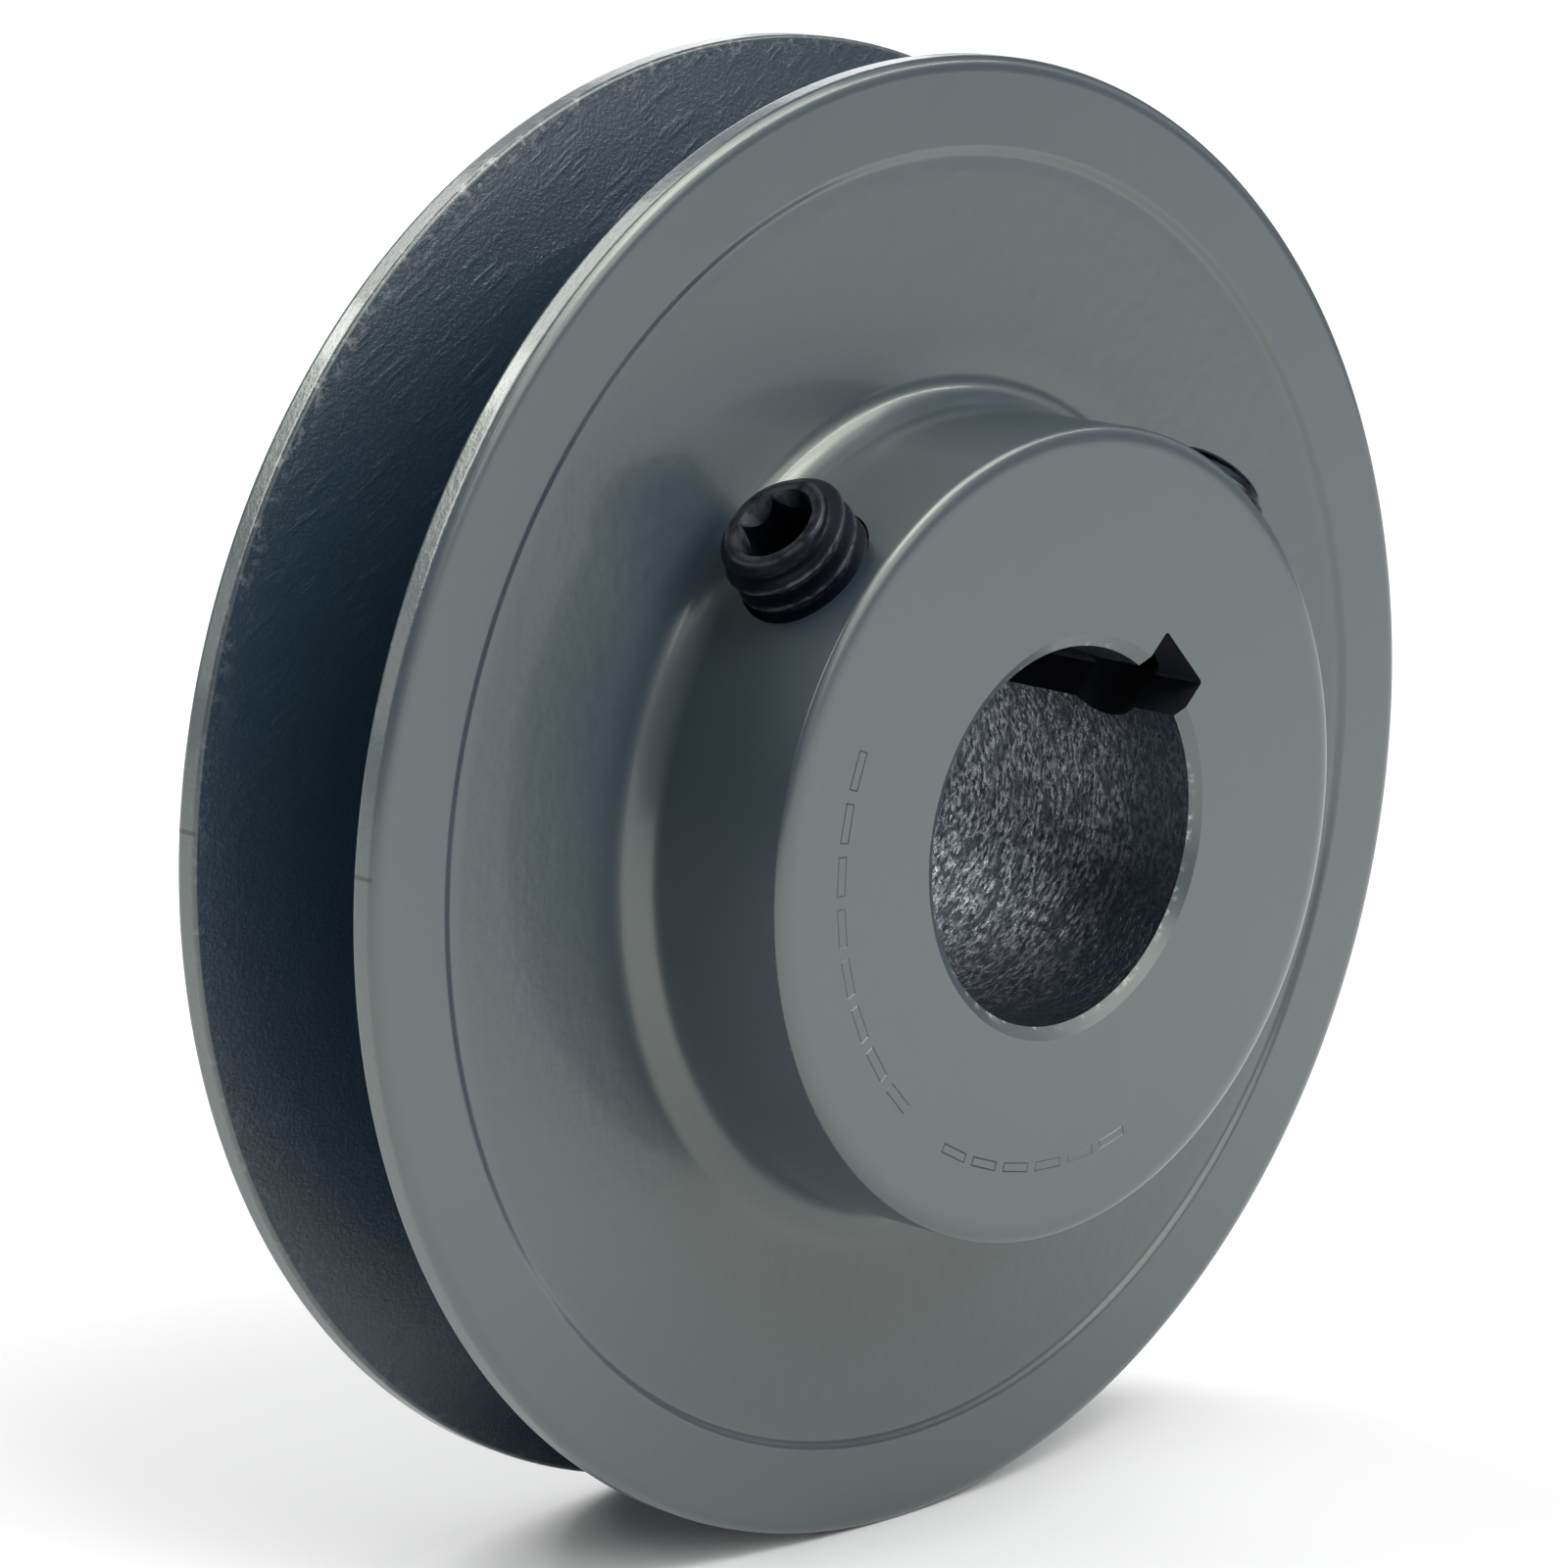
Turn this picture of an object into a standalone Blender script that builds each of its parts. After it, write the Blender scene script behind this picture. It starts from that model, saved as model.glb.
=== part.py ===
"""A single-groove V-belt pulley with a fixed bore, held on its shaft by two socket set screws.

Metres, +Z up. The pulley turns about the Y axis, its hub faces -Y, and the origin lies on that axis
in the middle plane of the belt groove. The keyway points halfway between +X and +Z, and the second
set screw halfway between -X and +Z.
"""

import math

import bmesh
import bpy
from mathutils import Matrix, Vector

INCH = 0.0254
GAP = 0.0003

# Rim and groove
OUTER_RADIUS = 3.45 * INCH / 2
RIM_WIDTH = 0.0165
LAND_WIDTH = 0.0012
RIM_CORNER_DEPTH = 0.0009
RIM_CORNER_WIDTH = 0.00058
LIP_BREAK = 0.00025
GROOVE_DEPTH = 0.0127
GROOVE_HALF_ANGLE = math.radians(17)
GROOVE_FLOOR_FILLET = 0.0008
RIM_RING_WIDTH = 0.0051

# Web
WEB_RECESS = 0.00026
STEP_RUN = 0.00066

# Hub
HUB_RADIUS = 1.875 * INCH / 2
HUB_FACE = 0.75 * INCH
HUB_EDGE_DEPTH = 0.00045
HUB_EDGE_WIDTH = 0.00115
HUB_ROOT_FILLET = 0.0019

# Bore and keyway
BORE_RADIUS = 0.875 * INCH / 2
BORE_CHAMFER_WIDTH = 0.00074
BORE_CHAMFER_DEPTH = 0.00045
KEYWAY_WIDTH = 3 / 16 * INCH
KEYWAY_DEPTH = 3 / 32 * INCH
KEYWAY_ANGLE = math.radians(45)

# Set screws, 5/16 inch with 18 threads to the inch
SCREW_RADIUS = 0.0039
SCREW_LENGTH = 3 / 8 * INCH
SCREW_CHAMFER = 0.00085
SCREW_STATION = 0.01325
SOCKET_ACROSS_FLATS = 5 / 32 * INCH
SOCKET_DEPTH = 0.0042
CUP_RADIUS = 0.0019
CUP_DEPTH = 0.0007
POINT_LENGTH = 0.0018
TAPPED_RADIUS = SCREW_RADIUS + GAP
KEYWAY_SCREW_TOP = 0.02605
SIDE_SCREW_TOP = 0.02735

BODY_STEPS = 96
SCREW_STEPS = 36
ARC_STEPS = 4


def clear_scene():
    for obj in list(bpy.data.objects):
        bpy.data.objects.remove(obj, do_unlink=True)


def new_collection(name):
    collection = bpy.data.collections.new(name)
    bpy.context.scene.collection.children.link(collection)
    return collection


def new_material(name, color, roughness, metallic):
    material = bpy.data.materials.new(name)
    material.use_nodes = True
    shader = material.node_tree.nodes["Principled BSDF"]
    shader.inputs["Base Color"].default_value = (*color, 1)
    shader.inputs["Roughness"].default_value = roughness
    shader.inputs["Metallic"].default_value = metallic
    material.diffuse_color = (*color, 1)
    return material


def grey_enamel():
    return new_material("grey_enamel", (0.075, 0.09, 0.1), 0.25, 0.0)


def black_oxide():
    return new_material("black_oxide", (0.015, 0.015, 0.02), 0.4, 0.8)


def corner(start, end, bulge, steps=ARC_STEPS):
    """Points of a quarter ellipse after start, up to and with end.

    It leaves start along the radius where bulge is "radius", and along the axis where it is "axis".
    """
    (r0, z0), (r1, z1) = start, end
    points = []
    for step in range(1, steps + 1):
        turn = math.pi / 2 * step / steps
        ahead, aside = math.sin(turn), 1 - math.cos(turn)
        if bulge == "radius":
            points.append((r0 + (r1 - r0) * ahead, z0 + (z1 - z0) * aside))
        else:
            points.append((r0 + (r1 - r0) * aside, z0 + (z1 - z0) * ahead))
    return points


def hub_outline():
    """From the hub's end face out over its edge and down its root fillet to the web."""
    web = RIM_WIDTH / 2 - WEB_RECESS
    edge = (HUB_RADIUS - HUB_EDGE_WIDTH, HUB_FACE)
    points = [(BORE_RADIUS + BORE_CHAMFER_WIDTH, HUB_FACE), edge]
    points += corner(edge, (HUB_RADIUS, HUB_FACE - HUB_EDGE_DEPTH), "radius")
    root = (HUB_RADIUS, web + HUB_ROOT_FILLET)
    points.append(root)
    points += corner(root, (HUB_RADIUS + HUB_ROOT_FILLET, web), "axis")
    return points


def rim_side_outline():
    """From the web's edge over the machined ring and the land to the groove's floor."""
    half = RIM_WIDTH / 2
    ring = OUTER_RADIUS - RIM_RING_WIDTH
    land = half - RIM_CORNER_WIDTH
    lip = land - LAND_WIDTH
    ring_edge = (OUTER_RADIUS - RIM_CORNER_DEPTH, half)
    points = [(ring - STEP_RUN, half - WEB_RECESS), (ring, half), ring_edge]
    points += corner(ring_edge, (OUTER_RADIUS, land), "radius")
    points.append((OUTER_RADIUS, lip + LIP_BREAK))
    wall_top = (OUTER_RADIUS - LIP_BREAK, lip)
    points += corner(points[-1], wall_top, "axis", 2)
    slope = math.tan(GROOVE_HALF_ANGLE)
    floor = OUTER_RADIUS - GROOVE_DEPTH
    foot_radius = floor + GROOVE_FLOOR_FILLET
    foot = (foot_radius, lip - slope * (wall_top[0] - foot_radius))
    points.append(foot)
    points += corner(foot, (floor, foot[1] - GROOVE_FLOOR_FILLET), "radius", 3)
    return points


def back_boss_outline():
    """From the web's back over the short boss to the bore's back chamfer."""
    half = RIM_WIDTH / 2
    web = half - WEB_RECESS
    points = [(HUB_RADIUS + WEB_RECESS, -web)]
    points += corner(points[0], (HUB_RADIUS, -half), "radius", 3)
    points.append((BORE_RADIUS + BORE_CHAMFER_WIDTH, -half))
    points.append((BORE_RADIUS, -half + BORE_CHAMFER_DEPTH))
    points.append((BORE_RADIUS, HUB_FACE - BORE_CHAMFER_DEPTH))
    return points


def body_outline():
    """The pulley's closed half section as (radius, distance towards the hub's face)."""
    front_side = rim_side_outline()
    back_side = [(r, -z) for r, z in reversed(front_side)]
    return hub_outline() + front_side + back_side + back_boss_outline()


def screw_outline():
    """A set screw's half section from its socket end, on the axis, down to its cup."""
    top = SCREW_LENGTH
    tip = CUP_RADIUS + 0.00025
    return [
        (0, top),
        (SCREW_RADIUS - SCREW_CHAMFER, top),
        (SCREW_RADIUS, top - SCREW_CHAMFER),
        (SCREW_RADIUS, POINT_LENGTH),
        (tip, 0),
        (CUP_RADIUS, 0),
        (0, CUP_DEPTH),
    ]


def turned(name, outline, closed, steps, collection):
    """A solid made by turning a half section about the object's Z axis."""
    mesh = bpy.data.meshes.new(name)
    verts = [(r, 0, z) for r, z in outline]
    edges = [(i, i + 1) for i in range(len(verts) - 1)]
    if closed:
        edges.append((len(verts) - 1, 0))
    mesh.from_pydata(verts, edges, [])
    obj = bpy.data.objects.new(name, mesh)
    collection.objects.link(obj)
    spin = obj.modifiers.new("turn", "SCREW")
    spin.axis = "Z"
    spin.steps = steps
    spin.render_steps = steps
    spin.use_smooth_shade = True
    spin.use_merge_vertices = True
    spin.merge_threshold = 0.00001
    return obj


def mesh_cutter(name, bm, collection):
    mesh = bpy.data.meshes.new(name)
    bm.to_mesh(mesh)
    bm.free()
    obj = bpy.data.objects.new(name, mesh)
    obj.hide_render = True
    obj.display_type = "WIRE"
    collection.objects.link(obj)
    return obj


def cylinder_cutter(name, radius, low, high, sides, collection):
    """A prism or cylinder along the object's Z axis, from low to high."""
    bm = bmesh.new()
    bmesh.ops.create_cone(
        bm, cap_ends=True, segments=sides, radius1=radius, radius2=radius, depth=high - low
    )
    bmesh.ops.translate(bm, verts=bm.verts, vec=(0, 0, (low + high) / 2))
    return mesh_cutter(name, bm, collection)


def keyway_cutter(collection):
    """A bar through the whole bore, standing out of it by the keyway's depth along its own Z axis."""
    reach = BORE_RADIUS + KEYWAY_DEPTH
    inner = BORE_RADIUS * 0.6
    length = (HUB_FACE + RIM_WIDTH / 2) * 1.2
    middle = (RIM_WIDTH / 2 - HUB_FACE) / 2
    bm = bmesh.new()
    bmesh.ops.create_cube(bm, size=1)
    bmesh.ops.scale(bm, verts=bm.verts, vec=(KEYWAY_WIDTH, length, reach - inner))
    bmesh.ops.translate(bm, verts=bm.verts, vec=(0, middle, (reach + inner) / 2))
    return mesh_cutter("keyway_cutter", bm, collection)


def radial_frame(angle, radius, station):
    """A frame whose Z axis points out from the pulley's axis at an angle from +X towards +Z."""
    outward = Vector((math.cos(angle), 0, math.sin(angle)))
    along = Vector((0, 1, 0))
    across = along.cross(outward)
    turn = Matrix((across, along, outward)).transposed().to_4x4()
    return Matrix.Translation(outward * radius + Vector((0, -station, 0))) @ turn


def cut(obj, cutter):
    step = obj.modifiers.new(cutter.name, "BOOLEAN")
    step.operation = "DIFFERENCE"
    step.solver = "EXACT"
    step.object = cutter


def make_body(parts, cutters, screw_angles):
    body = turned("pulley_body", body_outline(), True, BODY_STEPS, parts)
    body.matrix_world = Matrix.Rotation(math.pi / 2, 4, "X")
    body.data.materials.append(grey_enamel())
    keyway = keyway_cutter(cutters)
    keyway.matrix_world = radial_frame(KEYWAY_ANGLE, 0, 0)
    cut(body, keyway)
    for name, angle in screw_angles.items():
        hole = cylinder_cutter(name + "_hole", TAPPED_RADIUS, 0, HUB_RADIUS, 32, cutters)
        hole.matrix_world = radial_frame(angle, BORE_RADIUS * 0.6, SCREW_STATION)
        cut(body, hole)
    return body


def make_screw(name, angle, top_radius, parts, cutters):
    """A set screw whose origin is at its cup point, with its Z axis along its slide."""
    screw = turned(name, screw_outline(), False, SCREW_STEPS, parts)
    screw.data.materials.append(black_oxide())
    place = radial_frame(angle, top_radius - SCREW_LENGTH, SCREW_STATION)
    corner_radius = SOCKET_ACROSS_FLATS / 2 / math.cos(math.pi / 6)
    low = SCREW_LENGTH - SOCKET_DEPTH
    socket = cylinder_cutter(name + "_socket", corner_radius, low, SCREW_LENGTH * 1.3, 6, cutters)
    screw.matrix_world = place
    socket.matrix_world = place
    cut(screw, socket)
    return screw


def main():
    clear_scene()
    parts = new_collection("v_belt_pulley")
    cutters = new_collection("cutters")
    screws = {
        "set_screw_keyway": (KEYWAY_ANGLE, KEYWAY_SCREW_TOP),
        "set_screw_side": (KEYWAY_ANGLE + math.pi / 2, SIDE_SCREW_TOP),
    }
    make_body(parts, cutters, {name: angle for name, (angle, _) in screws.items()})
    for name, (angle, top_radius) in screws.items():
        make_screw(name, angle, top_radius, parts, cutters)


main()
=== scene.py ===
import math
import random

import bmesh
import bpy
import numpy as np
from mathutils import Matrix, Vector


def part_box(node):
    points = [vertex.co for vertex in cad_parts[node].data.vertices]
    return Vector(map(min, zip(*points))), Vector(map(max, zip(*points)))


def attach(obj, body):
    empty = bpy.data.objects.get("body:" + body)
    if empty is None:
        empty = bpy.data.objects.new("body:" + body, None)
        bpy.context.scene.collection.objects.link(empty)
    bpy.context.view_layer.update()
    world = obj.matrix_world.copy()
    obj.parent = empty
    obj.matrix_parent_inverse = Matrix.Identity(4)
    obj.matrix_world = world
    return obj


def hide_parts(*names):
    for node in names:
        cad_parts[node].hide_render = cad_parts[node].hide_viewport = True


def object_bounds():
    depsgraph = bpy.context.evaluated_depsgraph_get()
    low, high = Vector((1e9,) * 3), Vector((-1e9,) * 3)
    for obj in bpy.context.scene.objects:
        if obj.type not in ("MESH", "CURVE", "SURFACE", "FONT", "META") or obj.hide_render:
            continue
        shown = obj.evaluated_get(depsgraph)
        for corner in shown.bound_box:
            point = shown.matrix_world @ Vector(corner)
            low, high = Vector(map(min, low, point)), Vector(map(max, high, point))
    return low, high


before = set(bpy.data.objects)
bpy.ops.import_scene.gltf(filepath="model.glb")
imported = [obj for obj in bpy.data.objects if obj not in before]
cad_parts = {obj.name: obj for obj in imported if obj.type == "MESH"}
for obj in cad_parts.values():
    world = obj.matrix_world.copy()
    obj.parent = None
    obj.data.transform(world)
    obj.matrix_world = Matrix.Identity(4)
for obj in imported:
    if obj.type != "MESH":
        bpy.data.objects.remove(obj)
CAD_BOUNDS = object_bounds()

# A single-groove V-belt pulley stands on its rim on a pale floor. It turns about the Y axis, its hub
# faces -Y, and the origin lies on that axis in the middle plane of the belt groove. Metres throughout.
# An outline is a list of (radius, distance towards the hub's face) points.

MM = 0.001
BODY_LOW, BODY_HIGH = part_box("pulley_body")

# Rim and groove
OUTER_RADIUS = BODY_HIGH.x
RIM_HALF = BODY_HIGH.y
LAND_WIDTH = 1.2 * MM
RIM_CORNER_DEPTH = 0.9 * MM
RIM_CORNER_WIDTH = 0.58 * MM
LIP_BREAK = 0.25 * MM
GROOVE_DEPTH = 12.7 * MM
GROOVE_HALF_ANGLE = math.radians(17)
GROOVE_FLOOR_FILLET = 0.8 * MM
RIM_RING_WIDTH = 5.1 * MM
LIP = RIM_HALF - RIM_CORNER_WIDTH - LAND_WIDTH
GROOVE_FLOOR = OUTER_RADIUS - GROOVE_DEPTH
RING_START = OUTER_RADIUS - RIM_RING_WIDTH

# Web
WEB_RECESS = 0.26 * MM
WEB_FACE = RIM_HALF - WEB_RECESS
STEP_RUN = 0.66 * MM
WEB_LINE_RADIUS = 32.25 * MM
WEB_LINE_HALF_WIDTH = 0.15 * MM
WEB_LINE_DEPTH = 0.004 * MM

# Hub
HUB_FACE = -BODY_LOW.y
HUB_RADIUS = 23.8125 * MM
HUB_EDGE_DEPTH = 0.45 * MM
HUB_EDGE_WIDTH = 1.15 * MM
HUB_ROOT_FILLET = 1.9 * MM
ROOT_SHIFT = 0.3 * MM
ROOT_SHIFT_ANGLE = math.radians(228)

# The casting's seam across the lands, and the stretch of the back lip where pale chips are a painted
# highlight
SEAM_ANGLE = math.radians(178)
LIP_HIGHLIGHT_ANGLE = math.radians(125)
LIP_HIGHLIGHT_REACH = math.radians(45)

# Rows of bars engraved in the hub's face: radius, first and last angle in degrees, and the bars'
# number, width and height
MARK_ROWS = [
    (19.0 * MM, 161, 224, 8, 2.2 * MM, 0.6 * MM),
    (19.3 * MM, 243, 285, 6, 2.1 * MM, 0.5 * MM),
]
MARK_LINE_RADIUS = 0.07 * MM
MARK_LINE_HEIGHT = 0.015 * MM

# Bore, keyway and tapped holes
BORE_RADIUS = 11.1125 * MM
BORE_CHAMFER_WIDTH = 0.74 * MM
BORE_CHAMFER_DEPTH = 0.45 * MM
KEYWAY_WIDTH = 4.7625 * MM
KEYWAY_DEPTH = 2.38125 * MM
KEYWAY_ANGLE = math.radians(45)
SIDE_ANGLE = math.radians(135)
HOLE_RADIUS = 4.03 * MM
HOLE_MINOR_RADIUS = 3.3 * MM
HOLE_SHOULDER = 0.7 * MM
KEYWAY_HOLE_NARROW_TO = 14.2 * MM
SIDE_HOLE_NARROW_TO = 11.9 * MM
CUTTER_START = BORE_RADIUS * 0.6
CUTTER_END = HUB_RADIUS + 0.95 * MM
SCREW_STATION = 13.25 * MM

# Set screws
SCREW_RADIUS = 3.9 * MM
SCREW_ROOT_RADIUS = 3.13 * MM
SCREW_LENGTH = 9.525 * MM
SCREW_PITCH = 25.4 / 18 * MM
SCREW_END_RADIUS = 3.0 * MM
SOCKET_ACROSS_FLATS = 3.97 * MM
SOCKET_MOUTH_RADIUS = 2.4 * MM
SOCKET_MOUTH_SLOPE = 2.6
SOCKET_DEPTH = 4.2 * MM
CUP_RADIUS = 1.9 * MM
CUP_RIM = 0.25 * MM
CUP_DEPTH = 0.7 * MM
POINT_LENGTH = 1.8 * MM
KEYWAY_SCREW_TOP = 26.05 * MM
SIDE_SCREW_TOP = 27.35 * MM

# Mesh density, and the distance from a corner to the row that holds its shading
BODY_STEPS = 384
SCREW_STEPS = 120
HOLE_STEPS = 96
ROWS_PER_THREAD = 24
SUPPORT = 0.05 * MM


# ---------------------------------------------------------------- outlines and turned meshes

def corner(start, end, bulge, steps=8):
    """Points of a quarter ellipse after start, up to and with end.

    It leaves start along the radius where bulge is "radius", and along the axis where it is "axis".
    """
    (r0, t0), (r1, t1) = start, end
    points = []
    for step in range(1, steps + 1):
        turn = math.pi / 2 * step / steps
        ahead, aside = math.sin(turn), 1 - math.cos(turn)
        if bulge == "radius":
            points.append((r0 + (r1 - r0) * ahead, t0 + (t1 - t0) * aside))
        else:
            points.append((r0 + (r1 - r0) * aside, t0 + (t1 - t0) * ahead))
    return points


def run(start, end, steps):
    """Points of a straight stretch after start, up to and with end, with one close to each end.

    The close ones keep the shading flat up to the corners."""
    (r0, t0), (r1, t1) = start, end
    hold = min(SUPPORT / math.hypot(r1 - r0, t1 - t0), 0.3)
    shares = [hold] + [i / steps for i in range(1, steps)] + [1 - hold, 1]
    return [(r0 + (r1 - r0) * share, t0 + (t1 - t0) * share) for share in sorted(shares)]


def hub_outline():
    """From the bore's mouth over the hub's face and edge, and down its root fillet to the web."""
    mouth = (BORE_RADIUS + BORE_CHAMFER_WIDTH, HUB_FACE)
    edge = (HUB_RADIUS - HUB_EDGE_WIDTH, HUB_FACE)
    points = [mouth] + run(mouth, edge, 6)
    points += corner(edge, (HUB_RADIUS, HUB_FACE - HUB_EDGE_DEPTH), "radius", 10)
    root = (HUB_RADIUS, WEB_FACE + HUB_ROOT_FILLET)
    points += run(points[-1], root, 5)
    points += corner(root, (HUB_RADIUS + HUB_ROOT_FILLET, WEB_FACE), "axis", 12)
    points.append((HUB_RADIUS + HUB_ROOT_FILLET + SUPPORT, WEB_FACE))
    return points


def web_outline():
    """The flat web, with the faint turned line in it, up to the machined ring."""
    line = WEB_LINE_RADIUS
    points = [(HUB_RADIUS + 1.5 * HUB_ROOT_FILLET, WEB_FACE)]
    points += run(points[-1], (line - WEB_LINE_HALF_WIDTH, WEB_FACE), 5)
    points += [(line, WEB_FACE - WEB_LINE_DEPTH), (line + WEB_LINE_HALF_WIDTH, WEB_FACE)]
    foot = (RING_START - STEP_RUN, WEB_FACE)
    points += run(points[-1], foot, 5)
    for step in range(1, 9):
        share = step / 8
        smooth = share * share * (3 - 2 * share)
        points.append((foot[0] + STEP_RUN * share, WEB_FACE + WEB_RECESS * smooth))
    return points


def rim_side_outline():
    """From the machined ring over the land to the groove's floor."""
    ring_edge = (OUTER_RADIUS - RIM_CORNER_DEPTH, RIM_HALF)
    points = run((RING_START, RIM_HALF), ring_edge, 4)
    points += corner(ring_edge, (OUTER_RADIUS, RIM_HALF - RIM_CORNER_WIDTH), "radius", 8)
    points += run(points[-1], (OUTER_RADIUS, LIP + LIP_BREAK), 2)
    wall_top = (OUTER_RADIUS - LIP_BREAK, LIP)
    points += corner(points[-1], wall_top, "axis", 4)
    slope = math.tan(GROOVE_HALF_ANGLE)
    foot_radius = GROOVE_FLOOR + GROOVE_FLOOR_FILLET
    foot = (foot_radius, LIP - slope * (wall_top[0] - foot_radius))
    points += run(wall_top, foot, 12)
    points += corner(foot, (GROOVE_FLOOR, foot[1] - GROOVE_FLOOR_FILLET), "radius", 6)
    return points


def back_boss_outline():
    """From the web's back over the short boss, through the bore and out over its front chamfer."""
    points = [(HUB_RADIUS + WEB_RECESS, -WEB_FACE)]
    points += corner(points[0], (HUB_RADIUS, -RIM_HALF + 0.1 * MM), "radius", 5)
    points.append((HUB_RADIUS - 0.1 * MM, -RIM_HALF))
    points += run(points[-1], (BORE_RADIUS + BORE_CHAMFER_WIDTH, -RIM_HALF), 4)
    points += run(points[-1], (BORE_RADIUS, -RIM_HALF + BORE_CHAMFER_DEPTH), 2)
    points += run(points[-1], (BORE_RADIUS, HUB_FACE - BORE_CHAMFER_DEPTH), 10)
    points += run(points[-1], (BORE_RADIUS + BORE_CHAMFER_WIDTH, HUB_FACE), 2)[:-1]
    return points


def body_outline():
    """The pulley's closed half section; the back of its web and rim mirrors the front."""
    front = web_outline() + rim_side_outline()
    back = [(r, -t) for r, t in reversed(front)]
    back = [p for p in back if p[0] > HUB_RADIUS + WEB_RECESS]
    return hub_outline() + front + back + back_boss_outline()


def turned_mesh(name, rings, closed):
    """A mesh from rings of points, an array of shape (rings, steps, 3).

    A ring whose points all lie in one place is a pole. A closed mesh joins its last ring to its
    first."""
    verts, index = [], []
    for ring in rings:
        if np.ptp(ring, axis=0).max() < 1e-9:
            index.append([len(verts)] * len(ring))
            verts.append(ring[0])
        else:
            index.append(range(len(verts), len(verts) + len(ring)))
            verts.extend(ring)
    steps = len(rings[0])
    pairs = list(zip(index, index[1:]))
    if closed:
        pairs.append((index[-1], index[0]))
    faces = []
    for low, high in pairs:
        for j in range(steps):
            k = (j + 1) % steps
            quad = (low[j], low[k], high[k], high[j])
            faces.append(list(dict.fromkeys(quad)))
    mesh = bpy.data.meshes.new(name)
    mesh.from_pydata([tuple(v) for v in verts], [], faces)
    mesh.validate()
    return mesh


def new_object(name, mesh):
    obj = bpy.data.objects.new(name, mesh)
    bpy.context.scene.collection.objects.link(obj)
    return obj


def outward(mesh):
    """Turns the faces of a closed mesh to point out."""
    bm = bmesh.new()
    bm.from_mesh(mesh)
    bmesh.ops.recalc_face_normals(bm, faces=bm.faces)
    bm.to_mesh(mesh)
    bm.free()


# ---------------------------------------------------------------- materials

class Nodes:
    """Builds a material's node tree in a few words."""

    def __init__(self, name):
        self.material = bpy.data.materials.new(name)
        self.material.use_nodes = True
        self.tree = self.material.node_tree
        self.shader = self.tree.nodes["Principled BSDF"]

    def add(self, kind, inputs=None, **settings):
        node = self.tree.nodes.new(kind)
        for key, value in settings.items():
            setattr(node, key, value)
        for key, value in (inputs or {}).items():
            self.put(node, key, value)
        return node

    def put(self, node, key, value):
        if isinstance(value, bpy.types.NodeSocket):
            self.tree.links.new(value, node.inputs[key])
        elif isinstance(value, bpy.types.Node):
            self.tree.links.new(value.outputs[0], node.inputs[key])
        else:
            node.inputs[key].default_value = value

    def math(self, operation, a, b=0.0):
        return self.add("ShaderNodeMath", {0: a, 1: b}, operation=operation).outputs[0]

    def ramp(self, value, low, high):
        """0 below low, 1 above high, smooth between."""
        node = self.add(
            "ShaderNodeMapRange",
            {"Value": value, "From Min": low, "From Max": high},
            interpolation_type="SMOOTHSTEP",
        )
        return node.outputs[0]

    def spread(self, value, low, high):
        """A value of 0 to 1 spread linearly over low to high."""
        node = self.add("ShaderNodeMapRange", {"Value": value, "To Min": low, "To Max": high})
        return node.outputs[0]

    def noise(self, vector, scale, detail=2.0, roughness=0.5):
        inputs = {"Vector": vector, "Scale": scale, "Detail": detail, "Roughness": roughness}
        return self.add("ShaderNodeTexNoise", inputs).outputs[0]

    def mix(self, share, a, b):
        node = self.add("ShaderNodeMix", data_type="RGBA")
        for socket, value in ((0, share), (6, a), (7, b)):
            self.put(node, socket, value)
        return node.outputs[2]

    def bump(self, height, distance, strength=1.0, normal=None):
        inputs = {"Height": height, "Distance": distance, "Strength": strength}
        if normal is not None:
            inputs["Normal"] = normal
        return self.add("ShaderNodeBump", inputs).outputs[0]

    def turned_coordinates(self):
        """Object coordinates, and the radius and the angle about the Y axis."""
        where = self.add("ShaderNodeTexCoord").outputs["Object"]
        parts = self.add("ShaderNodeSeparateXYZ", {0: where})
        x, y, z = parts.outputs
        square = self.math("ADD", self.math("MULTIPLY", x, x), self.math("MULTIPLY", z, z))
        return where, self.math("SQRT", square), self.math("ARCTAN2", z, x), y


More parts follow.
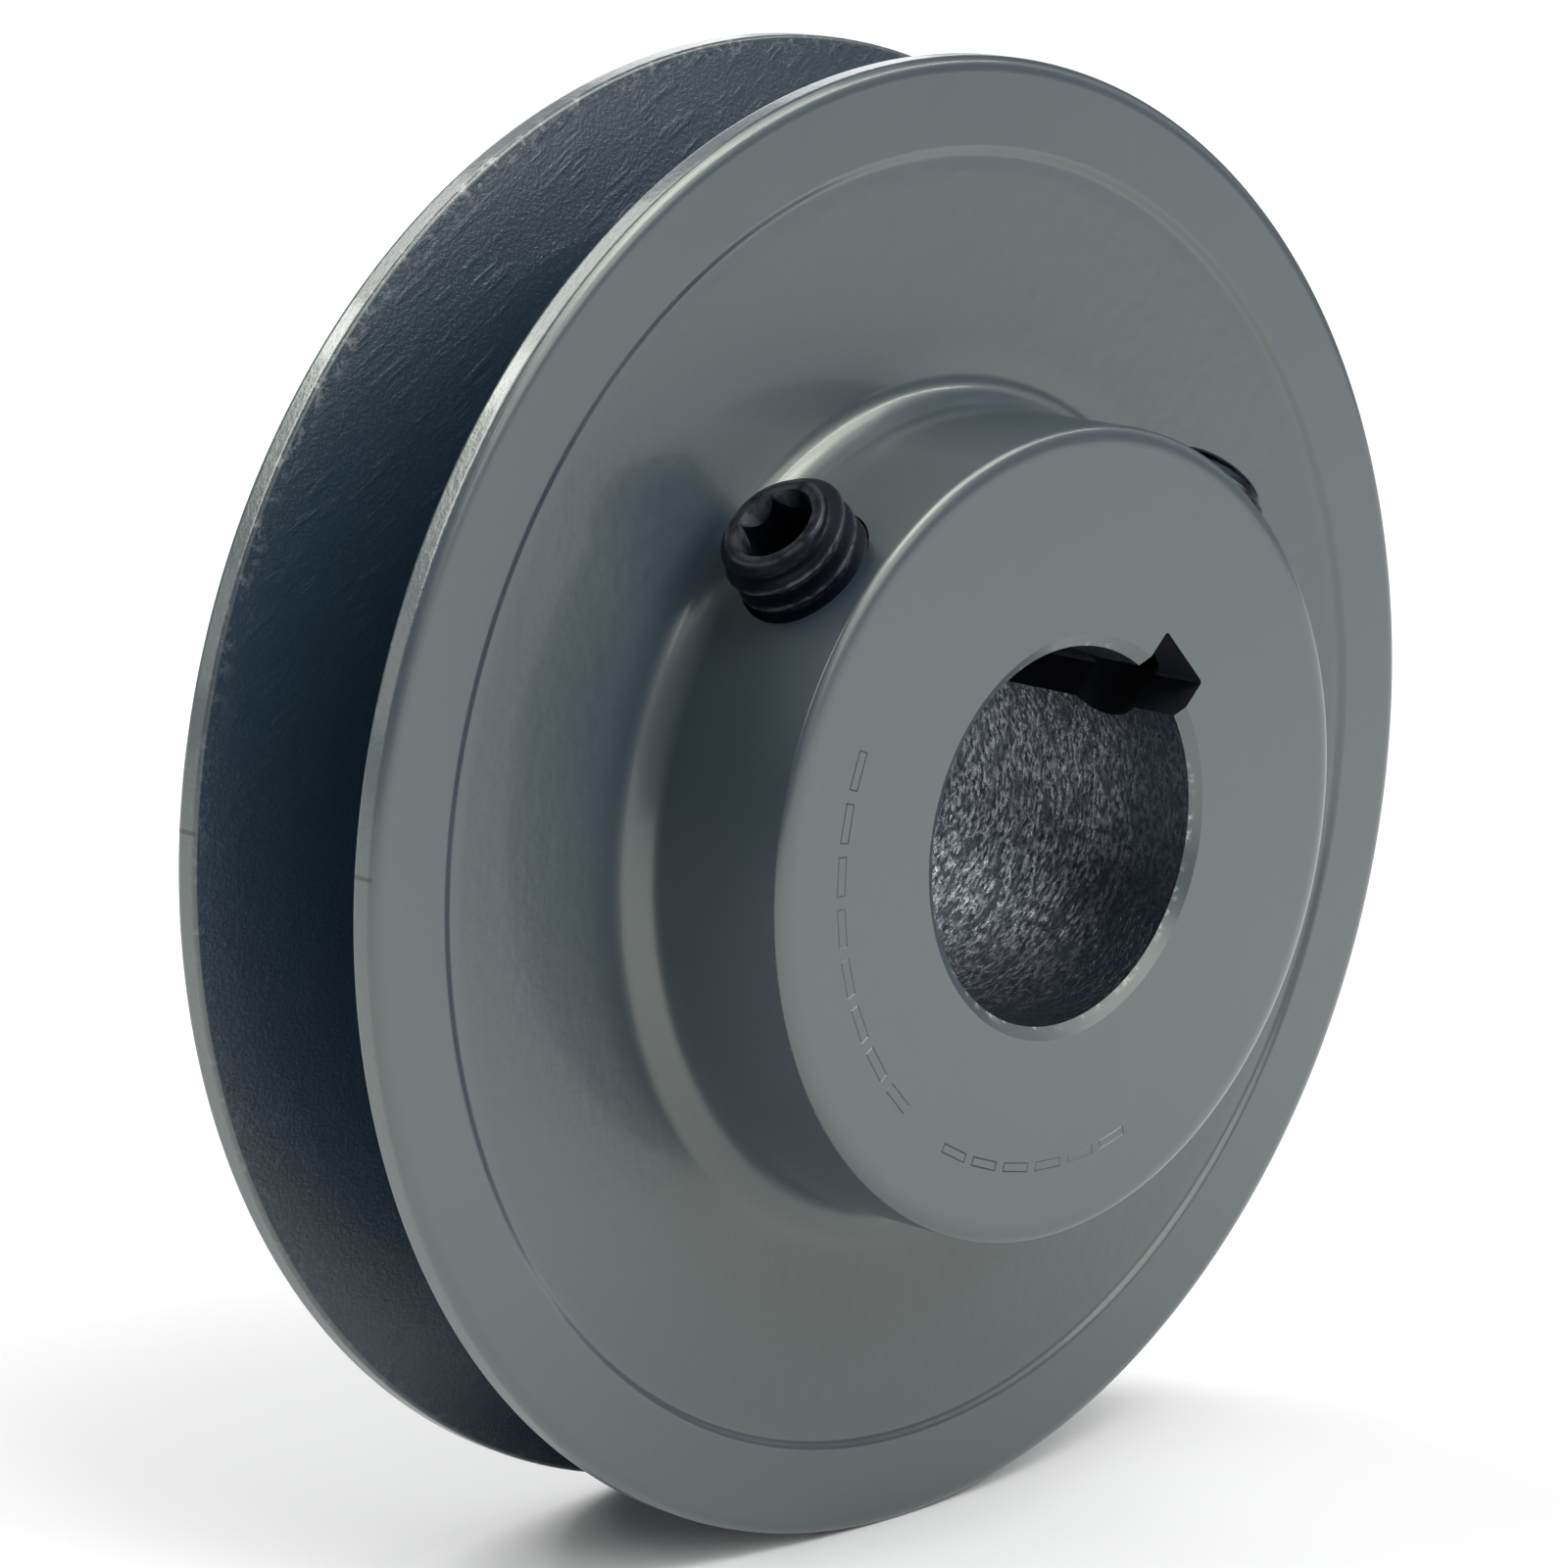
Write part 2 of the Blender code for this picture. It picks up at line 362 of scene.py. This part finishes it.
def grey_enamel():
    """Semi-gloss enamel over turned cast iron: a fine orange peel, faint lathe lines, an uneven web,
    a casting seam across the lands, a few worn spots, and pale chips on a stretch of the back lip
    that are a painted highlight."""
    n = Nodes("grey_enamel")
    where, radius, angle, along = n.turned_coordinates()
    broad = n.noise(where, 60, 3)
    grain = n.noise(where, 2600, 2, 0.6)
    peel = n.noise(where, 1100, 2.5, 0.6)
    sway = n.noise(where, 150, 2)
    drawn_out = n.math("MULTIPLY", angle, 0.0015)
    lathe = n.noise(n.add("ShaderNodeCombineXYZ", {0: radius, 1: drawn_out, 2: along}), 5200, 1)
    color = n.mix(broad, (0.022, 0.036, 0.05, 1), (0.03, 0.046, 0.06, 1))
    color = n.mix(n.math("MULTIPLY", n.ramp(grain, 0.55, 0.8), 0.25), color, (0.05, 0.062, 0.072, 1))
    wear_and_highlight = n.add("ShaderNodeAttribute", attribute_name="wear_and_highlight").outputs["Fac"]
    # Pale chips: paint worn off both lips and the bore's mouth, and on a stretch of the back lip a
    # painted highlight.
    chipped_and_highlight = n.math("MULTIPLY", wear_and_highlight, n.ramp(n.noise(where, 1400, 4, 0.7), 0.52, 0.66))
    color = n.mix(n.math("MULTIPLY", chipped_and_highlight, 0.8), color, (0.42, 0.43, 0.42, 1))
    off_seam = n.math("ABSOLUTE", n.math("SUBTRACT", angle, SEAM_ANGLE))
    on_land = n.ramp(radius, OUTER_RADIUS - 0.12 * MM, OUTER_RADIUS - 0.06 * MM)
    seam = n.math("MULTIPLY", n.ramp(off_seam, 0.0042, 0.0018), on_land)
    color = n.mix(n.math("MULTIPLY", seam, 0.7), color, (0.012, 0.013, 0.014, 1))
    n.put(n.shader, "Base Color", color)
    rough = n.math("ADD", n.spread(broad, 0.26, 0.37), n.spread(grain, -0.02, 0.04))
    web_start = HUB_RADIUS + HUB_ROOT_FILLET
    web_end = RING_START - STEP_RUN
    past_start = n.ramp(radius, web_start, web_start + 2 * MM)
    before_end = n.ramp(radius, web_end, web_end - 1 * MM)
    on_web = n.math("MULTIPLY", past_start, before_end)
    rough = n.math("ADD", rough, n.math("MULTIPLY", on_web, 0.11))
    n.put(n.shader, "Roughness", n.math("ADD", rough, n.math("MULTIPLY", seam, 0.4)))
    n.shader.inputs["Specular IOR Level"].default_value = 1.0
    n.shader.inputs["Specular Tint"].default_value = (0.99, 1, 0.84, 1)
    n.shader.inputs["Coat Weight"].default_value = 0.3
    n.shader.inputs["Coat Roughness"].default_value = 0.09
    normal = n.bump(sway, 0.04 * MM)
    normal = n.bump(n.math("MULTIPLY", n.noise(where, 900, 2), on_web), 0.05 * MM, normal=normal)
    normal = n.bump(peel, 0.009 * MM, normal=normal)
    normal = n.bump(lathe, 0.0012 * MM, normal=normal)
    normal = n.bump(n.math("MULTIPLY", grain, on_land), 0.03 * MM, normal=normal)
    n.put(n.shader, "Normal", normal)
    return n.material


def groove_enamel_painted_shade():
    """The same enamel over the sandy walls of the groove, with tool streaks; its colour is painted
    darker there as painted shade.
    """
    n = Nodes("groove_enamel_painted_shade")
    where = n.add("ShaderNodeTexCoord").outputs["Object"]
    sand = n.noise(where, 4200, 3, 0.65)
    patch = n.noise(where, 500, 2)
    # Painted shade: the groove's colour is several times darker than the same enamel outside it.
    color = n.mix(patch, (0.004, 0.017, 0.033, 1), (0.007, 0.023, 0.041, 1))
    color = n.mix(n.math("MULTIPLY", n.ramp(sand, 0.55, 0.7), 0.3), color, (0.05, 0.06, 0.075, 1))
    wear_and_highlight = n.add("ShaderNodeAttribute", attribute_name="wear_and_highlight").outputs["Fac"]
    # Pale chips at the lips: paint worn off, and on a stretch of the back lip a painted highlight.
    chipped_and_highlight = n.math("MULTIPLY", wear_and_highlight, n.ramp(n.noise(where, 1400, 4, 0.7), 0.5, 0.62))
    color = n.mix(n.math("MULTIPLY", chipped_and_highlight, 0.75), color, (0.6, 0.61, 0.6, 1))
    n.put(n.shader, "Base Color", color)
    n.put(n.shader, "Roughness", n.spread(sand, 0.42, 0.26))
    n.shader.inputs["Specular IOR Level"].default_value = 0.7
    n.shader.inputs["Specular Tint"].default_value = (0.96, 1, 0.95, 1)
    slanted = n.add("ShaderNodeVectorRotate", {"Vector": where, "Angle": 0.6}, rotation_type="Y_AXIS")
    streaky = n.add("ShaderNodeVectorMath", {0: slanted, 1: (0.12, 1, 1)}, operation="MULTIPLY")
    streaks = n.ramp(n.noise(streaky, 1600, 2), 0.45, 0.75)
    streaks = n.math("MULTIPLY", streaks, n.ramp(patch, 0.4, 0.6))
    normal = n.bump(sand, 0.035 * MM)
    normal = n.bump(streaks, 0.02 * MM, normal=normal)
    n.put(n.shader, "Normal", normal)
    return n.material


def bare_iron():
    """The bore's bare cast iron: fine streaks round the bore, glints, and painted shade darkening it
    towards its mouth.
    """
    n = Nodes("bare_iron")
    where, _, angle, along = n.turned_coordinates()
    round_bore = n.math("MULTIPLY", angle, BORE_RADIUS)
    streaky = n.add("ShaderNodeCombineXYZ", {0: n.math("MULTIPLY", round_bore, 0.5), 1: along})
    speck = n.noise(streaky, 3300, 3, 0.7)
    coarse = n.noise(streaky, 1100, 2)
    pits = n.ramp(speck, 0.4, 0.64)
    color = n.mix(pits, (0.018, 0.024, 0.034, 1), (0.3, 0.32, 0.34, 1))
    color = n.mix(n.ramp(coarse, 0.42, 0.7), color, (0.04, 0.048, 0.062, 1))
    # Painted shade: within about 5 mm of the hub's face the bore is painted darker, fading out by 10 mm,
    # and made a little rougher there.
    edge = n.math("ADD", along, n.math("MULTIPLY", n.noise(where, 300, 3), 4 * MM))
    mouth_painted_shade = n.ramp(edge, 10 * MM - HUB_FACE, 5 * MM - HUB_FACE)
    color = n.mix(n.math("MULTIPLY", mouth_painted_shade, 0.8), color, (0.03, 0.042, 0.058, 1))
    n.put(n.shader, "Base Color", color)
    n.shader.inputs["Metallic"].default_value = 0.9
    bare_roughness = n.spread(speck, 0.44, 0.12)
    n.put(n.shader, "Roughness", n.math("ADD", bare_roughness, n.math("MULTIPLY", mouth_painted_shade, 0.12)))
    normal = n.bump(speck, 0.17 * MM)
    normal = n.bump(coarse, 0.09 * MM, normal=normal)
    n.put(n.shader, "Normal", normal)
    return n.material


def painted_shade_iron():
    """Near-black iron in the cut keyway and the tapped holes, with fine specks: painted shade."""
    n = Nodes("painted_shade_iron")
    where = n.add("ShaderNodeTexCoord").outputs["Object"]
    speck = n.noise(where, 2400, 3, 0.65)
    n.put(n.shader, "Base Color", n.mix(speck, (0.004, 0.005, 0.008, 1), (0.016, 0.018, 0.024, 1)))
    n.shader.inputs["Metallic"].default_value = 0.3
    n.shader.inputs["Specular IOR Level"].default_value = 0.2
    n.put(n.shader, "Roughness", n.spread(speck, 0.5, 0.7))
    n.put(n.shader, "Normal", n.bump(speck, 0.03 * MM))
    return n.material


def black_oxide():
    """Oiled black oxide on steel, worn a little on its edges."""
    n = Nodes("black_oxide")
    where = n.add("ShaderNodeTexCoord").outputs["Object"]
    grain = n.noise(where, 3800, 3, 0.6)
    patch = n.noise(where, 900, 2)
    wear_and_highlight = n.add("ShaderNodeAttribute", attribute_name="wear_and_highlight").outputs["Fac"]
    rubbed_and_highlight = n.math("MULTIPLY", wear_and_highlight, n.ramp(patch, 0.35, 0.65))
    color = n.mix(grain, (0.003, 0.005, 0.01, 1), (0.007, 0.009, 0.016, 1))
    color = n.mix(n.math("MULTIPLY", rubbed_and_highlight, 0.7), color, (0.11, 0.11, 0.125, 1))
    n.put(n.shader, "Base Color", color)
    n.shader.inputs["Metallic"].default_value = 0.6
    n.shader.inputs["Specular IOR Level"].default_value = 0.25
    n.put(n.shader, "Roughness", n.spread(grain, 0.3, 0.5))
    normal = n.bump(grain, 0.012 * MM)
    normal = n.bump(patch, 0.012 * MM, normal=normal)
    n.put(n.shader, "Normal", normal)
    return n.material


def pale_floor():
    """A matt white floor with hardly any grain."""
    n = Nodes("pale_floor")
    where = n.add("ShaderNodeTexCoord").outputs["Object"]
    color = n.mix(n.noise(where, 6, 3), (0.8, 0.8, 0.8, 1), (0.82, 0.82, 0.82, 1))
    n.put(n.shader, "Base Color", color)
    n.shader.inputs["Roughness"].default_value = 0.9
    n.shader.inputs["Specular IOR Level"].default_value = 0.1
    return n.material


# ---------------------------------------------------------------- pulley body

def radial_frame(angle, radius, station):
    """A frame whose Z axis points out from the pulley's axis at an angle from +X towards +Z."""
    out = Vector((math.cos(angle), 0, math.sin(angle)))
    along = Vector((0, 1, 0))
    turn = Matrix((along.cross(out), along, out)).transposed().to_4x4()
    return Matrix.Translation(out * radius + Vector((0, -station, 0))) @ turn


def body_rings():
    """The body's surface as rings, with the hub's cast root fillet a little off centre."""
    angles = [2 * math.pi * step / BODY_STEPS for step in range(BODY_STEPS)]
    rings = []
    for r, t in body_outline():
        on_fillet = t > 0 and HUB_RADIUS < r < HUB_RADIUS + 1.4 * HUB_ROOT_FILLET
        share = min((r - HUB_RADIUS) / HUB_ROOT_FILLET, 1) if on_fillet else 0
        ring = []
        for angle in angles:
            shift = share * ROOT_SHIFT * math.cos(angle - ROOT_SHIFT_ANGLE)
            radius = r + shift
            ring.append((radius * math.cos(angle), -t, radius * math.sin(angle)))
        rings.append(ring)
    return np.array(rings)


def cutter(name, verts, faces):
    """A closed cutting tool, which `cut` uses up."""
    mesh = bpy.data.meshes.new(name)
    mesh.from_pydata(verts, [], faces)
    outward(mesh)
    return new_object(name, mesh)


def keyway_cutter():
    """A bar through the whole bore, with its two outer edges broken."""
    reach = BORE_RADIUS + KEYWAY_DEPTH
    half = KEYWAY_WIDTH / 2
    break_edge = 0.15 * MM
    section = [
        (-half, CUTTER_START), (half, CUTTER_START), (half, reach - break_edge),
        (half - break_edge, reach), (break_edge - half, reach), (-half, reach - break_edge),
    ]
    low, high = -HUB_FACE * 1.2, RIM_HALF * 1.5
    count = len(section)
    verts = [(x, y, z) for y in (low, high) for x, z in section]
    faces = [tuple(range(count)), tuple(range(count, 2 * count))]
    faces += [(i, (i + 1) % count, count + (i + 1) % count, count + i) for i in range(count)]
    obj = cutter("keyway_cutter", verts, faces)
    obj.matrix_world = radial_frame(KEYWAY_ANGLE, 0, 0)
    return obj


def hole_cutter(name, angle, narrow_to):
    """A stepped hole: the tapped hole's minor radius near the bore, and full width beyond."""
    outline = [
        (0, CUTTER_START),
        (HOLE_MINOR_RADIUS, CUTTER_START),
        (HOLE_MINOR_RADIUS, narrow_to),
        (HOLE_RADIUS, narrow_to + HOLE_SHOULDER),
        (HOLE_RADIUS, CUTTER_END),
        (0, CUTTER_END),
    ]
    angles = [2 * math.pi * step / HOLE_STEPS for step in range(HOLE_STEPS)]
    rings = np.array([[(r * math.cos(a), r * math.sin(a), z) for a in angles] for r, z in outline])
    mesh = turned_mesh(name, rings, False)
    outward(mesh)
    obj = new_object(name, mesh)
    obj.matrix_world = radial_frame(angle, 0, SCREW_STATION)
    return obj


def evaluated_mesh(obj):
    """A new mesh of the object with its modifiers or its curve's bevel applied."""
    bpy.context.view_layer.update()
    evaluated = obj.evaluated_get(bpy.context.evaluated_depsgraph_get())
    return bpy.data.meshes.new_from_object(evaluated)


def bar(width, height):
    """The corners of a plain bar that lies along the row of marks."""
    across, up = width / 2, height / 2
    return [(across, up), (-across, up), (-across, -up), (across, -up)]


def marks_cutter():
    """Fine closed lines engraved in the hub's face: a row of plain bars, and a shorter row."""
    curve = bpy.data.curves.new("marks", "CURVE")
    curve.dimensions = "3D"
    curve.bevel_depth = MARK_LINE_RADIUS
    curve.bevel_resolution = 1
    for radius, first, last, count, width, height in MARK_ROWS:
        for i in range(count):
            angle = math.radians(first + (last - first) * i / (count - 1))
            shape = bar(width, height)
            spline = curve.splines.new("POLY")
            spline.points.add(len(shape) - 1)
            spline.use_cyclic_u = True
            for point, (u, v) in zip(spline.points, shape):
                r, turn = radius + v, angle + u / radius
                level = -HUB_FACE - MARK_LINE_HEIGHT
                point.co = (r * math.cos(turn), level, r * math.sin(turn), 1)
    holder = new_object("marks_curve", curve)
    mesh = evaluated_mesh(holder)
    bpy.data.objects.remove(holder)
    outward(mesh)
    return new_object("marks_cutter", mesh)


def cut(obj, cutters):
    """Cuts the tools out of the object and removes them."""
    for tool in cutters:
        step = obj.modifiers.new(tool.name, "BOOLEAN")
        step.operation = "DIFFERENCE"
        step.solver = "EXACT"
        step.material_mode = "TRANSFER"
        step.object = tool
    solid = evaluated_mesh(obj)
    obj.modifiers.clear()
    obj.data = solid
    for tool in cutters:
        bpy.data.objects.remove(tool)


def set_wear_and_highlight(mesh, share_of):
    """Stores for each vertex how worn its edge is; on the pulley this also holds a painted highlight."""
    layer = mesh.attributes.new("wear_and_highlight", "FLOAT", "POINT")
    layer.data.foreach_set("value", [share_of(v.co) for v in mesh.vertices])


def near(value, target, reach):
    """1 at the target, falling to 0 at the reach on either side."""
    return max(0.0, 1 - abs(value - target) / reach)


def body_wear_and_lip_highlight(co):
    """How pale the paint is at each vertex: worn a little on the rest of both lips and at the bore's
    mouth, and most on a stretch of the back lip, where the pale chips are a painted highlight."""
    radius = math.hypot(co.x, co.z)
    along = -co.y
    lips = near(radius, OUTER_RADIUS, 0.4 * MM) * near(abs(along), LIP, 0.4 * MM)
    # Painted highlight: the extra pale chips along this stretch of the back lip stand in for the lip's
    # highlight.
    rubbed_and_highlight = near(math.atan2(co.z, co.x), LIP_HIGHLIGHT_ANGLE, LIP_HIGHLIGHT_REACH) if along < 0 else 0
    lips *= 0.25 + rubbed_and_highlight
    mouth = HUB_FACE - BORE_CHAMFER_DEPTH
    bore = near(radius, BORE_RADIUS, 0.25 * MM) * near(along, mouth, 0.3 * MM)
    return max(lips, bore)


def make_body():
    """The casting: enamel outside, and in the groove painted darker as painted shade; bare iron in the
    bore; near-black iron, also painted shade, in the keyway and tapped holes.
    """
    mesh = turned_mesh("pulley", body_rings(), True)
    outward(mesh)
    enamel, iron, groove, hole_shade_iron = grey_enamel(), bare_iron(), groove_enamel_painted_shade(), painted_shade_iron()
    for material in (enamel, iron, groove):
        mesh.materials.append(material)
    for face in mesh.polygons:
        radius = math.hypot(face.center.x, face.center.z)
        if radius < BORE_RADIUS + 0.01 * MM:
            face.material_index = 1
        elif radius > GROOVE_FLOOR - 0.1 * MM and abs(face.center.y) < LIP:
            face.material_index = 2
    body = new_object("pulley", mesh)
    openings = [
        keyway_cutter(),
        hole_cutter("keyway_hole_cutter", KEYWAY_ANGLE, KEYWAY_HOLE_NARROW_TO),
        hole_cutter("side_hole_cutter", SIDE_ANGLE, SIDE_HOLE_NARROW_TO),
    ]
    # The keyway and the tapped holes take the near-black iron, which is painted shade.
    for tool in openings:
        tool.data.materials.append(hole_shade_iron)
    marks = marks_cutter()
    marks.data.materials.append(enamel)
    cut(body, openings + [marks])
    set_wear_and_highlight(body.data, body_wear_and_lip_highlight)
    body.data.shade_smooth()
    body.data.set_sharp_from_angle(angle=math.radians(28))
    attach(body, "pulley")
    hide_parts("pulley_body")


# ---------------------------------------------------------------- set screws

def thread_radius(angle, height, phase):
    """The radius of a 60 degree thread with a narrow crest and a wider root."""
    turn = height / SCREW_PITCH - angle / (2 * math.pi) + phase
    aside = abs(turn % 1 - 0.5) * 2
    share = min(max((aside - 0.14) / 0.6, 0), 1)
    share = share * share * (3 - 2 * share) * 0.4 + share * 0.6
    return SCREW_RADIUS + (SCREW_ROOT_RADIUS - SCREW_RADIUS) * share


def hexagon_radius(angle):
    """The distance from the socket's axis to its wall."""
    aside = (angle + math.pi / 6) % (math.pi / 3) - math.pi / 6
    return SOCKET_ACROSS_FLATS / 2 / math.cos(aside)


def screw_rings(phase, seed):
    """A socket set screw from its cup, up its thread, over its end and down its hexagon socket."""
    rng = random.Random(seed)
    angles = [2 * math.pi * step / SCREW_STEPS for step in range(SCREW_STEPS)]
    rows = round(SCREW_LENGTH / SCREW_PITCH * ROWS_PER_THREAD)
    top = SCREW_LENGTH
    rings = []

    def ring(radius_of, height_of):
        rings.append([
            (radius_of(a) * math.cos(a), radius_of(a) * math.sin(a), height_of(a)) for a in angles
        ])

    for share in (0, 0.35, 0.7, 0.9, 1):
        ring(lambda a: CUP_RADIUS * share, lambda a: CUP_DEPTH * (1 - share))
    ring(lambda a: CUP_RADIUS + CUP_RIM * 0.5, lambda a: 0)
    tip = CUP_RADIUS + CUP_RIM
    flare = (SCREW_RADIUS - tip) / POINT_LENGTH
    for row in range(rows + 1):
        height = top * row / rows

        def outer(a):
            cone = tip + height * flare
            bevel = SCREW_END_RADIUS + 0.04 * MM + (top - height)
            return min(thread_radius(a, height, phase), cone, bevel)

        ring(outer, lambda a: height)
    end = SCREW_END_RADIUS
    ring(lambda a: end - 0.05 * MM, lambda a: top)
    for share in (0.33, 0.66):
        mid = end + (SOCKET_MOUTH_RADIUS - end) * share
        ring(lambda a: mid, lambda a: top)
    burr = [rng.uniform(-1, 1) for _ in angles]
    rough = {a: (burr[i] + burr[i - 1] + burr[i - 2]) / 3 for i, a in enumerate(angles)}
    ring(lambda a: SOCKET_MOUTH_RADIUS + 0.035 * MM * rough[a], lambda a: top - 0.01 * MM)

    def mouth_height(a):
        return top - (SOCKET_MOUTH_RADIUS - hexagon_radius(a)) * SOCKET_MOUTH_SLOPE

    ring(lambda a: hexagon_radius(a) + 0.05 * MM, lambda a: mouth_height(a) + 0.03 * MM)
    ring(hexagon_radius, lambda a: mouth_height(a) - 0.03 * MM + 0.02 * MM * rough[a])
    for share in (0.4, 0.7, 1):
        ring(hexagon_radius, lambda a: top - SOCKET_DEPTH * share)
    ring(lambda a: 1.4 * MM, lambda a: top - SOCKET_DEPTH - 0.1 * MM)
    ring(lambda a: 0, lambda a: top - SOCKET_DEPTH - 0.7 * MM)
    return np.array(rings)


def screw_wear(co):
    """Rubbed on its thread crests, on its end's corner and round the socket's mouth."""
    radius = math.hypot(co.x, co.y)
    crest = near(radius, SCREW_RADIUS, 0.09 * MM)
    end = near(co.z, SCREW_LENGTH, 0.2 * MM) * max(
        near(radius, SCREW_END_RADIUS, 0.2 * MM), near(radius, SOCKET_MOUTH_RADIUS, 0.5 * MM)
    )
    return max(crest * 0.7, end)


def make_screw(name, body, node, angle, top_radius, phase, turn, finish):
    """A set screw in its hole: phase is where its thread starts, turn is how far it is screwed round."""
    mesh = turned_mesh(name, screw_rings(phase, name), False)
    outward(mesh)
    mesh.materials.append(finish)
    set_wear_and_highlight(mesh, screw_wear)
    mesh.shade_smooth()
    mesh.set_sharp_from_angle(angle=math.radians(35))
    screw = new_object(name, mesh)
    place = radial_frame(angle, top_radius - SCREW_LENGTH, SCREW_STATION)
    screw.matrix_world = place @ Matrix.Rotation(turn, 4, "Z")
    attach(screw, body)
    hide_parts(node)


# ---------------------------------------------------------------- studio

FLOOR_SIZE = 3.2
CAMERA_AZIMUTH = math.radians(-46.36)
CAMERA_ELEVATION = math.radians(11.83)
CAMERA_ROLL = math.radians(2.03)
CAMERA_PLACE = Vector((-0.24963, -0.23437, 0.07155))
CAMERA_LENS = 134.9

# How brightly the surround lights the object, and how bright the camera sees it
SURROUND_LIGHT = 0.18
SURROUND_SEEN = 0.95

# Each softbox: azimuth from +X towards +Y and elevation in degrees, distance, width and height in
# metres, watts
SOFTBOXES = {
    "key_high": (293, 50, 2.6, 1.8, 1.1, 28),
    "key_strip": (293, 37, 2.6, 3.6, 0.06, 22),
    "front_middle": (282, 20, 2.6, 1.4, 0.8, 10),
    "near_top": (258, 58, 0.42, 0.25, 0.2, 0.7),
    "right_side": (345, 18, 2.6, 1.2, 0.8, 1.5),
    "top": (300, 80, 2.6, 1.8, 1.8, 16),
    "back_top": (100, 55, 2.6, 1.6, 1.2, 29),
    "back_left": (144, 38, 2.6, 1.4, 1.0, 28),
    "back_left_low": (138, 12, 2.6, 1.2, 0.6, 4),
    "back_right": (50, 20, 2.6, 1.2, 1.0, 9),
    "back_strip": (115, 40, 2.6, 0.8, 0.2, 8),
}


def view_direction(azimuth, elevation):
    """The way a camera looks that stands at this azimuth and elevation; azimuth 0 looks along +Y."""
    level = math.cos(elevation)
    return Vector((-math.sin(azimuth) * level, math.cos(azimuth) * level, -math.sin(elevation)))


def make_camera():
    """The camera at the photo's place, angle and roll."""
    data = bpy.data.cameras.new("camera")
    data.lens = CAMERA_LENS
    data.sensor_width = 36
    data.clip_start = 0.01
    camera = new_object("camera", data)
    look = view_direction(CAMERA_AZIMUTH, CAMERA_ELEVATION)
    aim = look.to_track_quat("-Z", "Y").to_matrix().to_4x4()
    roll = Matrix.Rotation(CAMERA_ROLL, 4, "Z")
    camera.matrix_world = Matrix.Translation(CAMERA_PLACE) @ aim @ roll
    bpy.context.scene.camera = camera


def make_floor():
    """A square floor at the foot of the rim."""
    half = FLOOR_SIZE / 2
    height = CAD_BOUNDS[0][2]
    mesh = bpy.data.meshes.new("floor")
    corners = [(x, y, height) for x, y in ((-half, -half), (half, -half), (half, half), (-half, half))]
    mesh.from_pydata(corners, [], [(0, 1, 2, 3)])
    mesh.materials.append(pale_floor())
    floor = new_object("floor", mesh)


def softbox(name, azimuth, elevation, distance, width, height, watts):
    """A soft area light at an azimuth from +X towards +Y, turned to the object."""
    data = bpy.data.lights.new(name, "AREA")
    data.shape = "RECTANGLE"
    data.size = width
    data.size_y = height
    data.energy = watts
    turn, lift = math.radians(azimuth), math.radians(elevation)
    way = Vector((math.cos(turn) * math.cos(lift), math.sin(turn) * math.cos(lift), math.sin(lift)))
    light = new_object(name, data)
    light.location = way * distance
    light.rotation_euler = (-way).to_track_quat("-Z", "Y").to_euler()
    light.visible_camera = False


def make_world():
    """The camera sees a pale surround past the floor's edge, which lights the object only faintly."""
    world = bpy.data.worlds.new("studio")
    world.use_nodes = True
    tree = world.node_tree
    background = tree.nodes["Background"]
    seen = tree.nodes.new("ShaderNodeLightPath").outputs["Is Camera Ray"]
    strength = tree.nodes.new("ShaderNodeMapRange")
    strength.inputs["To Min"].default_value = SURROUND_LIGHT
    strength.inputs["To Max"].default_value = SURROUND_SEEN
    tree.links.new(seen, strength.inputs["Value"])
    tree.links.new(strength.outputs[0], background.inputs["Strength"])
    background.inputs["Color"].default_value = (1, 1, 1, 1)
    bpy.context.scene.world = world


def make_lights():
    for name, settings in SOFTBOXES.items():
        softbox(name, *settings)


def main():
    make_body()
    finish = black_oxide()
    make_screw(
        "keyway_set_screw", "keyway_screw", "set_screw_keyway",
        KEYWAY_ANGLE, KEYWAY_SCREW_TOP, phase=0.2, turn=0.4, finish=finish,
    )
    make_screw(
        "side_set_screw", "side_screw", "set_screw_side",
        SIDE_ANGLE, SIDE_SCREW_TOP, phase=0.3, turn=0.2, finish=finish,
    )
    make_camera()
    make_floor()
    make_world()
    make_lights()
    bpy.context.scene.view_settings.view_transform = "Standard"


main()
